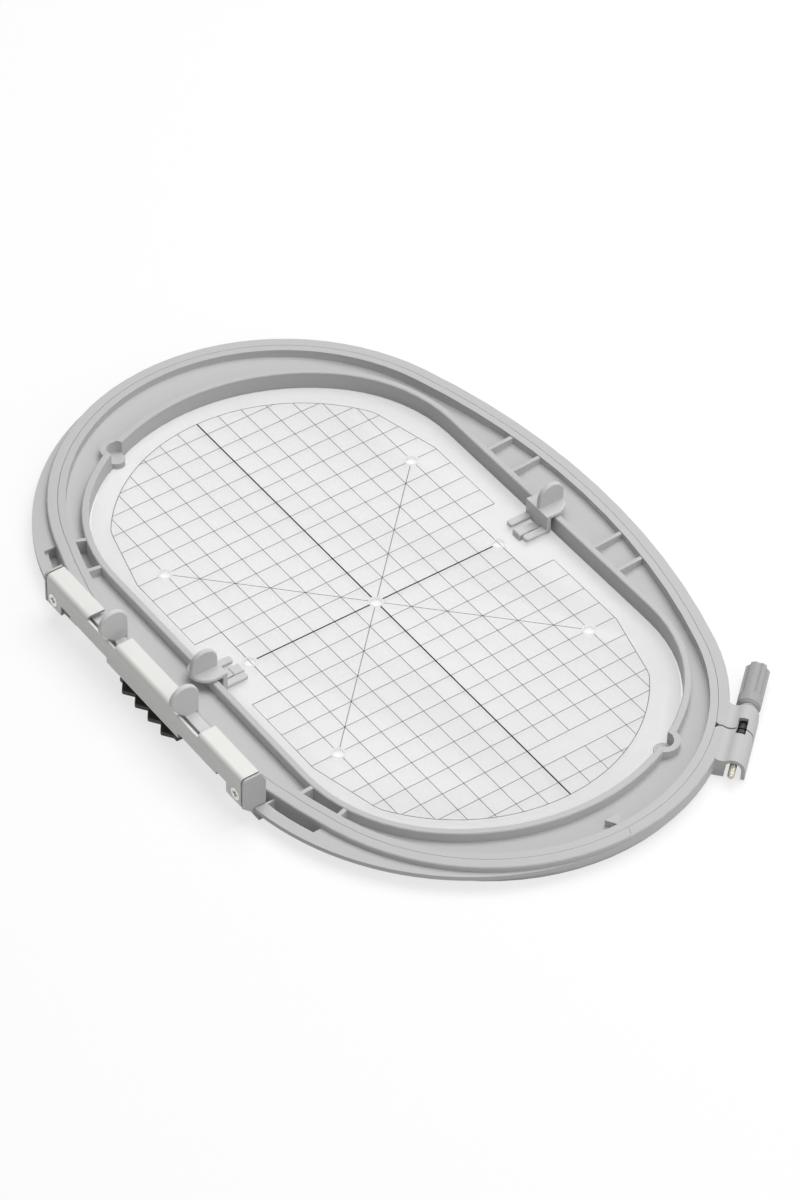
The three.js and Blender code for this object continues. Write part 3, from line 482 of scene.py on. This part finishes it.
def roundEdges(piece, finish, edge):
    piece.data.materials.append(finishes[finish])
    bevel = piece.modifiers.new("edges", "BEVEL")
    bevel.width = edge * mm
    bevel.segments = softEdges["segments"]
    bevel.limit_method = "ANGLE"
    bevel.angle_limit = math.radians(softEdges["crease"])
    bevel.use_clamp_overlap = True
    bevel.miter_outer = "MITER_ARC"
    bevel.material = 1
    piece.modifiers.new("normals", "WEIGHTED_NORMAL").keep_sharp = True
    made = evaluatedMesh(piece, preserve_all_data_layers=True)
    made.name = piece.name
    piece.modifiers.clear()
    piece.data = made
    markEdges(made)


for nodeName, body, finish, slot, edge in softPieces:
    piece = newObject(nodeName + ".soft", softMesh(nodeName, finish, edge))
    if edge:
        roundEdges(piece, finish, edge)
    # the cover's end faces are masked for painted shade
    if nodeName == "coupling_cover":
        paintEndShade(piece.data)
    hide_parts(nodeName)
    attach(piece, body)
print("rounded pieces:", len(softPieces))


# paths of the grid printed on the template
gridPrint = {  # mm
    "centre": (2.9, 1.2),
    "pitch": 10,
    "columns": 6,  # lines on each side of the axes
    "rows": 12,
    "halfWidth": 72.5,
    "straight": 61,  # the sides run straight to here
    "shoulder": (65, 90.5),  # the slanted sides end here
    "endCentre": 50.5,
    "endRadius": 77,
    "endSteps": 24,  # for a quarter of the border
    "bayHalf": 20,  # bare bays beside the handles
    "bayX": 60,
    "blank": (0, 40, -110, -100),  # bare panel four cells long
    "markReach": 60,
    "markClear": 3.1,  # lines stop this far from a marking hole
    "shortest": 0.5,  # no shorter piece of line is printed
    "fine": 0.26,  # line widths
    "bold": 0.62,
    "level": 1.5,
    "ink": 0.03,
}


def gridLimitX(y, grid):
    y = abs(y)
    wide, straight = grid["halfWidth"], grid["straight"]
    shoulderX, shoulderY = grid["shoulder"]
    if y < grid["bayHalf"]:
        return grid["bayX"]
    if y <= straight:
        return wide
    if y <= shoulderY:
        return wide - (wide - shoulderX) * (y - straight) / (shoulderY - straight)
    return math.sqrt(max(grid["endRadius"] ** 2 - (y - grid["endCentre"]) ** 2, 0))


def gridLimitY(x, grid):
    x = abs(x)
    wide, straight = grid["halfWidth"], grid["straight"]
    shoulderX, shoulderY = grid["shoulder"]
    if x <= shoulderX:
        return grid["endCentre"] + math.sqrt(grid["endRadius"] ** 2 - x ** 2)
    return shoulderY - (shoulderY - straight) * (x - shoulderX) / (wide - shoulderX)


def gridBoundary(grid):
    shoulderX, shoulderY = grid["shoulder"]
    wide, bayX, bay = grid["halfWidth"], grid["bayX"], grid["bayHalf"]
    quarter = [(bayX, 0), (bayX, bay), (wide, bay), (wide, grid["straight"]), (shoulderX, shoulderY)]
    centre, radius, steps = grid["endCentre"], grid["endRadius"], grid["endSteps"]
    start = math.atan2(shoulderY - centre, shoulderX)
    for i in range(1, steps + 1):
        angle = start + (math.pi / 2 - start) * i / steps
        quarter.append((radius * math.cos(angle), centre + radius * math.sin(angle)))
    upper = quarter + [(-x, y) for x, y in reversed(quarter[:-1])]
    return upper + [(x, -y) for x, y in reversed(upper[1:-1])]


def markPlaces(grid):
    reach = grid["markReach"]
    return [(0, 0)] + [(sx * reach, sy * reach) for sx in (1, -1) for sy in (-1, 0, 1)]


def clearOfMarks(line, grid):
    # a straight line, broken where it meets a marking hole
    start, end = Vector(line[0]), Vector(line[1])
    length = (end - start).length
    along = (end - start).normalized()
    breaks = []
    for mark in markPlaces(grid):
        away = Vector(mark) - start
        reach = away.dot(along)
        side = abs(away.cross(along))
        if side < grid["markClear"]:
            half = math.sqrt(grid["markClear"] ** 2 - side ** 2)
            breaks.append((reach - half, reach + half))
    pieces, place = [], 0
    for low, high in sorted(breaks) + [(length, 0)]:
        low = min(low, length)
        if low - place > grid["shortest"]:
            pieces.append([tuple(start + along * place), tuple(start + along * low)])
        place = max(place, high)
    return pieces


def gridPaths(grid):
    lines, pitch = [], grid["pitch"]
    left, right, low, high = grid["blank"]
    for step in range(-grid["columns"], grid["columns"] + 1):
        x = step * pitch
        top = gridLimitY(x, grid)
        if step and left < x < right:
            lines += [[(x, -top), (x, low)], [(x, high), (x, top)]]
        elif step:
            lines.append([(x, -top), (x, top)])
    for step in range(-grid["rows"], grid["rows"] + 1):
        y = step * pitch
        side = gridLimitX(y, grid)
        if step:
            lines.append([(-side, y), (side, y)])
    reach = grid["markReach"]
    lines += [[(0, 0), (sx * reach, sy * reach)] for sx in (1, -1) for sy in (1, -1)]
    end = grid["endCentre"] + grid["endRadius"]
    heavy = [[(0, -end), (0, end)], [(-reach, 0), (reach, 0)]]
    border = gridBoundary(grid)
    fine = [border + border[:1]] + [piece for line in lines for piece in clearOfMarks(line, grid)]
    return fine, [piece for line in heavy for piece in clearOfMarks(line, grid)]


def pathCurve(name, paths, grid):
    curve = bpy.data.curves.new(name, "CURVE")
    curve.dimensions = "3D"
    centreX, centreY = grid["centre"]
    level = (grid["level"] + grid["ink"] / 2) * mm
    for path in paths:
        spline = curve.splines.new("POLY")
        spline.points.add(len(path) - 1)
        for point, (x, y) in zip(spline.points, path):
            point.co = ((centreX + x) * mm, (centreY + y) * mm, level, 1)
    return newObject(name, curve)


# geometry trees
socketKinds = {
    "geometry": "NodeSocketGeometry",
    "float": "NodeSocketFloat",
    "int": "NodeSocketInt",
    "vector": "NodeSocketVector",
    "material": "NodeSocketMaterial",
}


def newTree(name, **inputs):
    # a tree with named inputs, and the outputs of its entry node
    tree = bpy.data.node_groups.new(name, "GeometryNodeTree")
    sides = tree.interface
    for label, kind in inputs.items():
        sides.new_socket(label.replace("_", " "), in_out="INPUT", socket_type=socketKinds[kind])
    sides.new_socket("Geometry", in_out="OUTPUT", socket_type=socketKinds["geometry"])
    return tree, addNode(tree, "NodeGroupInput").outputs


def closeTree(tree, geometry, finish):
    real = wire(tree, addNode(tree, "GeometryNodeRealizeInstances"), Geometry=geometry)
    paint = addNode(tree, "GeometryNodeSetMaterial")
    wire(tree, paint, Geometry=real.outputs["Geometry"], Material=finish)
    wire(tree, addNode(tree, "NodeGroupOutput"), Geometry=paint.outputs["Geometry"])
    return tree


def joined(tree, x, y, z):
    return wire(tree, addNode(tree, "ShaderNodeCombineXYZ"), X=x, Y=y, Z=z).outputs[0]


def swept(tree, path, profile):
    node = addNode(tree, "GeometryNodeCurveToMesh")
    return wire(tree, node, Curve=path, Profile_Curve=profile, Fill_Caps=True).outputs["Mesh"]


def ringCurve(tree, radius, steps):
    node = addNode(tree, "GeometryNodeCurvePrimitiveCircle")
    return wire(tree, node, Radius=radius, Resolution=steps).outputs["Curve"]


def flatSection(tree, width, height):
    node = addNode(tree, "GeometryNodeCurvePrimitiveQuadrilateral")
    return wire(tree, node, Width=width, Height=height).outputs["Curve"]


def settled(tree, geometry, place, turn):
    node = addNode(tree, "GeometryNodeTransform")
    return wire(tree, node, Geometry=geometry, Translation=place, Rotation=turn).outputs["Geometry"]


def socketId(tree, name):
    items = tree.interface.items_tree
    return next(item.identifier for item in items if item.name == name and item.in_out == "INPUT")


def nodePiece(source, name, tree, values, crease=None):
    # runs a tree on a source object and keeps the result as a plain mesh
    holder = source or newObject(name, bpy.data.meshes.new(name))
    modifier = holder.modifiers.new(name, "NODES")
    modifier.node_group = tree
    for key, value in values.items():
        modifier[socketId(tree, key)] = value
    mesh = evaluatedMesh(holder)
    bpy.data.objects.remove(holder)
    mesh.name = name
    if crease:
        mesh.shade_smooth()
        mesh.set_sharp_from_angle(angle=math.radians(crease))
    piece = newObject(name, mesh)
    print(name, len(mesh.polygons), "faces", [round(v / mm, 2) for v in piece.dimensions])
    return piece


# printed grid and axes
def inkTree():
    tree, entry = newTree("inkStrips", Lines="geometry", Line_Width="float", Ink_Height="float",
                          Ink="material")
    upright = addNode(tree, "GeometryNodeSetCurveNormal", mode="Z_UP")
    wire(tree, upright, Curve=entry["Lines"])
    section = flatSection(tree, entry["Line Width"], entry["Ink Height"])
    return closeTree(tree, swept(tree, upright.outputs["Curve"], section), entry["Ink"])


finePaths, boldPaths = gridPaths(gridPrint)
strips = inkTree()
for name, paths, width, ink in (
    ("print_grid", finePaths, gridPrint["fine"], "gridInk"),
    ("print_axes", boldPaths, gridPrint["bold"], "axisInk"),
):
    piece = nodePiece(pathCurve(name + "_paths", paths, gridPrint), name, strips, {
        "Line Width": width * mm,
        "Ink Height": gridPrint["ink"] * mm,
        "Ink": finishes[ink],
    })
    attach(piece, "template")


# rims of the marking holes
markRims = {"radius": 2.6, "width": 0.55, "height": 0.06, "steps": 40, "crease": 40}  # mm, degrees


def rimTree():
    tree, entry = newTree("markRims", Places="geometry", Radius="float", Width="float",
                          Height="float", Steps="int", Finish="material")
    section = flatSection(tree, entry["Width"], entry["Height"])
    ring = swept(tree, ringCurve(tree, entry["Radius"], entry["Steps"]), section)
    copies = addNode(tree, "GeometryNodeInstanceOnPoints")
    wire(tree, copies, Points=entry["Places"], Instance=ring)
    return closeTree(tree, copies.outputs["Instances"], entry["Finish"])


def rimPoints(name, grid, rims):
    centreX, centreY = grid["centre"]
    level = grid["level"] + rims["height"] / 2
    places = [Vector((centreX + x, centreY + y, level)) * mm for x, y in markPlaces(grid)]
    mesh = bpy.data.meshes.new(name)
    mesh.from_pydata(places, [], [])
    return newObject(name, mesh)


piece = nodePiece(rimPoints("rim_places", gridPrint, markRims), "mark_rims", rimTree(), {
    "Radius": markRims["radius"] * mm,
    "Width": markRims["width"] * mm,
    "Height": markRims["height"] * mm,
    "Steps": markRims["steps"],
    "Finish": finishes["rimWhite"],
}, markRims["crease"])
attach(piece, "template")


# screws, turned and cross-slotted, one mesh for each pair
screwSets = {  # mm, degrees
    "cover_screws": {
        "nodes": ("cover_screw_front", "cover_screw_rear"), "finish": "screwBright",
        "start": (-107.8, -63.5, 12.6), "end": (-107.8, 63.5, 12.6), "turn": (0, -90, 0),
        "head": 2.8, "headLength": 1.4, "shank": 1.4, "length": 7.6, "countersunk": True,
    },
    "body_screws": {
        "nodes": ("body_screw_front", "body_screw_rear"), "finish": "screwSteel",
        "start": (-99.0, -62.5, 0.2), "end": (-99.0, 62.5, 0.2), "turn": (180, 0, 0),
        "head": 1.7, "headLength": 0.9, "shank": 1.0, "length": 8.4, "countersunk": False,
    },
    "comb_screws": {
        "nodes": ("comb_screw_front", "comb_screw_rear"), "finish": "screwSteel",
        "start": (-102.1, -14, 5.9), "end": (-102.1, 14, 5.9), "turn": (0, 0, 0),
        "head": 1.7, "headLength": 1.2, "shank": 1.0, "length": 4.8, "countersunk": False,
    },
}
screwShape = {
    "steps": 36,
    "crease": 35,  # degrees
    "slot": (1.2, 0.3, 1.2),  # shares of the head's radius, and of its length for the depth
    "pan": ((0.7, 0), (0.88, 0.1), (0.97, 0.3), (1, 0.55), (1, 1)),  # shares of radius and length
    "dish": (0.74, 0.12),  # countersunk head: share of the radius, depth in mm
    "edge": 0.9,
    "bevel": (0.06, 0.1),  # mm, across and down
    "neck": 0.02,  # mm under the head
    "taper": 0.4,  # mm at the tip
    "tip": 0.7,  # share of the shank
}


def screwProfile(screw, shape):
    # radius and height pairs from the head down, in mm
    head, depth, shank, length = (screw[k] for k in ("head", "headLength", "shank", "length"))
    if screw["countersunk"]:
        dish, dishDepth = shape["dish"]
        across, down = shape["bevel"]
        top = [(dish * head, -dishDepth), (shape["edge"] * head, 0), (head - across, 0), (head, -down)]
    else:
        top = [(radius * head, -height * depth) for radius, height in shape["pan"]]
    neck, taper = -depth - shape["neck"], shape["taper"] - length
    return top + [(shank, neck), (shank, taper), (shape["tip"] * shank, -length)]


def turnedBlank(name, profile, steps):
    # a closed turned solid about Z, with poles at both ends
    points = [(0, 0, profile[0][1] * mm)]
    for radius, height in profile:
        for i in range(steps):
            angle = 2 * math.pi * i / steps
            points.append((radius * math.cos(angle) * mm, radius * math.sin(angle) * mm, height * mm))
    points.append((0, 0, profile[-1][1] * mm))
    last = len(points) - 1
    faces = [(0, 1 + i, 1 + (i + 1) % steps) for i in range(steps)]
    for row in range(len(profile) - 1):
        a, b = 1 + row * steps, 1 + (row + 1) * steps
        faces += [(a + i, b + i, b + (i + 1) % steps, a + (i + 1) % steps) for i in range(steps)]
    a = 1 + (len(profile) - 1) * steps
    faces += [(last, a + (i + 1) % steps, a + i) for i in range(steps)]
    mesh = bpy.data.meshes.new(name)
    mesh.from_pydata(points, [], faces)
    return newObject(name, mesh)


def slotSize(screw, shape):
    long, wide, deep = shape["slot"]
    return Vector((long * screw["head"], wide * screw["head"], deep * screw["headLength"])) * mm


def screwTree():
    tree, entry = newTree("crossScrews", Blank="geometry", Start="vector", End="vector",
                          Turn="vector", Slot_Size="vector", Finish="material")
    size = wire(tree, addNode(tree, "ShaderNodeSeparateXYZ"), Vector=entry["Slot Size"]).outputs
    across = joined(tree, size["Y"], size["X"], size["Z"])
    slotted = addNode(tree, "GeometryNodeMeshBoolean", operation="DIFFERENCE", solver="EXACT")
    wire(tree, slotted, Mesh_1=entry["Blank"])
    for cutSize in (entry["Slot Size"], across):
        cut = wire(tree, addNode(tree, "GeometryNodeMeshCube"), Size=cutSize)
        wire(tree, slotted, Mesh_2=cut.outputs["Mesh"])
    places = addNode(tree, "GeometryNodeMeshLine", mode="END_POINTS")
    wire(tree, places, Count=2, Start_Location=entry["Start"], Offset=entry["End"])
    copies = addNode(tree, "GeometryNodeInstanceOnPoints")
    wire(tree, copies, Points=places.outputs["Mesh"], Instance=slotted.outputs["Mesh"],
         Rotation=entry["Turn"])
    return closeTree(tree, copies.outputs["Instances"], entry["Finish"])


crossScrews = screwTree()
for name, screw in screwSets.items():
    blank = turnedBlank(name + "_blank", screwProfile(screw, screwShape), screwShape["steps"])
    piece = nodePiece(blank, name, crossScrews, {
        "Start": Vector(screw["start"]) * mm,
        "End": Vector(screw["end"]) * mm,
        "Turn": [math.radians(angle) for angle in screw["turn"]],
        "Slot Size": slotSize(screw, screwShape),
        "Finish": finishes[screw["finish"]],
    }, screwShape["crease"])
    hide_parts(*screw["nodes"])
    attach(piece, "outer")


# lever springs, along Y from the middle of the bracket
leverSprings = {  # mm
    "x": -102.95,
    "z": 17.2,
    "start": 2.15,
    "length": 17.7,
    "turns": 8.0,
    "radius": 2.1,
    "wire": 0.35,
    "stop": 1.8,
    "keep": 0.772,  # share of the length left when squeezed
    "steps": 28,  # for each turn
    "wireSteps": 10,
    "crease": 60,  # degrees
}


def springTree(spring):
    tree, entry = newTree("leverSpring", Radius="float", Length="float", Turns="float",
                          Wire="float", Place="vector", Turn="vector", Finish="material")
    coil = addNode(tree, "GeometryNodeCurveSpiral")
    wire(tree, coil, Resolution=spring["steps"], Rotations=entry["Turns"], Height=entry["Length"],
         Start_Radius=entry["Radius"], End_Radius=entry["Radius"])
    seat = ringCurve(tree, entry["Radius"], spring["steps"])
    far = settled(tree, seat, joined(tree, 0.0, 0.0, entry["Length"]), (0, 0, 0))
    both = addNode(tree, "GeometryNodeJoinGeometry")
    for part in (coil.outputs["Curve"], seat, far):
        wire(tree, both, Geometry=part)
    bent = swept(tree, both.outputs[0], ringCurve(tree, entry["Wire"], spring["wireSteps"]))
    return closeTree(tree, settled(tree, bent, entry["Place"], entry["Turn"]), entry["Finish"])


coils = springTree(leverSprings)
for side, sign in (("rear", 1), ("front", -1)):
    name = "lever_spring_" + side
    start, stop = (
        Vector((leverSprings["x"], sign * leverSprings[key], leverSprings["z"])) * mm
        for key in ("start", "stop")
    )
    piece = nodePiece(None, name + ".coil", coils, {
        "Radius": leverSprings["radius"] * mm,
        "Length": leverSprings["length"] * mm,
        "Turns": leverSprings["turns"],
        "Wire": leverSprings["wire"] * mm,
        "Place": start,
        "Turn": (math.radians(-90 * sign), 0, 0),
        "Finish": finishes["springSteel"],
    }, leverSprings["crease"])
    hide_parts(name)
    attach(piece, "outer")
    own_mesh(piece)


# threaded clamp screw, made along X and then turned
clampThread = {  # mm
    "place": (71.494, -142.538, 5.0),
    "along": (0.749959, 0.661484),
    "start": -20.6,
    "threadEnd": -2.6,
    "end": 32.4,
    "core": 1.15,
    "crest": 0.26,
    "shank": 1.8,
    "pitch": 0.7,
    "step": 0.1,  # between rings of points
    "sides": 30,
    "flank": (0.08, 0.42),  # shares of the pitch between which the thread rises
    "tip": 0.62,  # share of the radius at the very end
    "crease": 60,  # degrees
}


def threadTree(thread):
    tree, entry = newTree("clampThread", Start="float", Thread_End="float", End="float",
                          Core="float", Crest="float", Shank="float", Pitch="float", Rings="int",
                          Place="vector", Turn="vector", Finish="material")
    start, threadEnd, core, pitch = (entry[k] for k in ("Start", "Thread End", "Core", "Pitch"))
    axis = addNode(tree, "GeometryNodeCurvePrimitiveLine")
    wire(tree, axis, Start=joined(tree, start, 0.0, 0.0), End=joined(tree, entry["End"], 0.0, 0.0))
    fine = addNode(tree, "GeometryNodeResampleCurve")
    wire(tree, fine, Curve=axis.outputs["Curve"], Count=entry["Rings"])
    rod = swept(tree, fine.outputs["Curve"], ringCurve(tree, core, thread["sides"]))
    spot = addNode(tree, "ShaderNodeSeparateXYZ")
    wire(tree, spot, Vector=addNode(tree, "GeometryNodeInputPosition").outputs[0])
    x, y, z = spot.outputs
    turns = calc(tree, "DIVIDE", calc(tree, "ARCTAN2", z, y), 2 * math.pi)
    phase = calc(tree, "SUBTRACT", calc(tree, "DIVIDE", x, pitch), turns)
    flank = ramp(tree, calc(tree, "PINGPONG", phase, 0.5), *thread["flank"])
    blunt = ramp(tree, x, calc(tree, "SUBTRACT", threadEnd, pitch), threadEnd)
    shoulder = calc(tree, "MULTIPLY", blunt, calc(tree, "SUBTRACT", entry["Shank"], core))
    height = calc(tree, "MAXIMUM", calc(tree, "MULTIPLY", flank, entry["Crest"]), shoulder)
    tip = ramp(tree, x, start, calc(tree, "ADD", start, pitch), thread["tip"], 1.0)
    radius = calc(tree, "MULTIPLY", calc(tree, "ADD", core, height), tip)
    swell = calc(tree, "DIVIDE", radius, core)
    swollen = joined(tree, x, calc(tree, "MULTIPLY", y, swell), calc(tree, "MULTIPLY", z, swell))
    shape = addNode(tree, "GeometryNodeSetPosition")
    wire(tree, shape, Geometry=rod, Position=swollen)
    placed = settled(tree, shape.outputs["Geometry"], entry["Place"], entry["Turn"])
    return closeTree(tree, placed, entry["Finish"])


alongX, alongY = clampThread["along"]
piece = nodePiece(None, "clamp_screw.thread", threadTree(clampThread), {
    "Start": clampThread["start"] * mm,
    "Thread End": clampThread["threadEnd"] * mm,
    "End": clampThread["end"] * mm,
    "Core": clampThread["core"] * mm,
    "Crest": clampThread["crest"] * mm,
    "Shank": clampThread["shank"] * mm,
    "Pitch": clampThread["pitch"] * mm,
    "Rings": round((clampThread["end"] - clampThread["start"]) / clampThread["step"]),
    "Place": Vector(clampThread["place"]) * mm,
    "Turn": (0, 0, math.atan2(alongY, alongX)),
    "Finish": finishes["screwNickel"],
}, clampThread["crease"])
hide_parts("clamp_screw")
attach(piece, "clamp")


# floor, world and lamps
stageSetup = {  # metres
    "floorSize": 6.0,
    "floorDrop": 0.0003,
    "floorWhite": 0.62,  # what lights the hoop from below
    "floorRoughness": 0.9,
    "seenWhite": 0.3,  # what the camera and reflections see, with the lift
    "lift": 0.71,
    "ambient": 0.23,
    "lamps": {  # place, size, watts
        "softbox": ((0.45, 0.1, 1.5), 1.4, 20.5),
        "fill": ((0.4, -1.45, 0.8), 1.2, 6.8),
    },
}
plainWhite = (1, 1, 1, 1)


def seenRays(tree):
    # one for what the camera, a reflection or a see-through surface looks at
    rays = addNode(tree, "ShaderNodeLightPath").outputs
    seen = calc(tree, "MAXIMUM", rays["Is Camera Ray"], rays["Is Glossy Ray"])
    return calc(tree, "MAXIMUM", seen, rays["Is Transmission Ray"])


def makeFloor(setup):
    half, level = setup["floorSize"] / 2, -setup["floorDrop"]
    corners = [(sx * half, sy * half, level) for sx, sy in ((-1, -1), (1, -1), (1, 1), (-1, 1))]
    mesh = bpy.data.meshes.new("floor")
    mesh.from_pydata(corners, [], [(0, 1, 2, 3)])
    floor = newObject("floor", mesh)
    material, tree, shader = newMaterial("paleFloor")
    seen = seenRays(tree)
    white = ramp(tree, seen, 0.0, 1.0, setup["floorWhite"], setup["seenWhite"])
    wire(tree, shader, Base_Color=white, Roughness=setup["floorRoughness"], Specular_IOR_Level=0.0,
         Emission_Color=plainWhite, Emission_Strength=calc(tree, "MULTIPLY", seen, setup["lift"]))
    mesh.materials.append(material)
    floor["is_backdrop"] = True


def makeWorld(setup):
    world = bpy.data.worlds.new("studio")
    scene.world = world
    world.use_nodes = True
    tree = world.node_tree
    strength = ramp(tree, seenRays(tree), 0.0, 1.0, setup["ambient"], 1.0)
    wire(tree, tree.nodes["Background"], Color=plainWhite, Strength=strength)


def makeLamps(setup):
    # each lamp looks at the origin
    for name, (place, size, watts) in setup["lamps"].items():
        lamp = bpy.data.lights.new(name, "AREA")
        lamp.energy = watts
        lamp.size = size
        aimed = Vector(place).to_track_quat("Z", "Y").to_matrix().to_4x4()
        newObject(name, lamp).matrix_world = Matrix.Translation(place) @ aimed


makeFloor(stageSetup)
makeWorld(stageSetup)
makeLamps(stageSetup)
print("stage made")

newLow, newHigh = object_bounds()
for label, low, high in (("CAD box", cadLow, cadHigh), ("visual box", newLow, newHigh)):
    print(label, [round(v / mm, 1) for v in high - low], "mm")
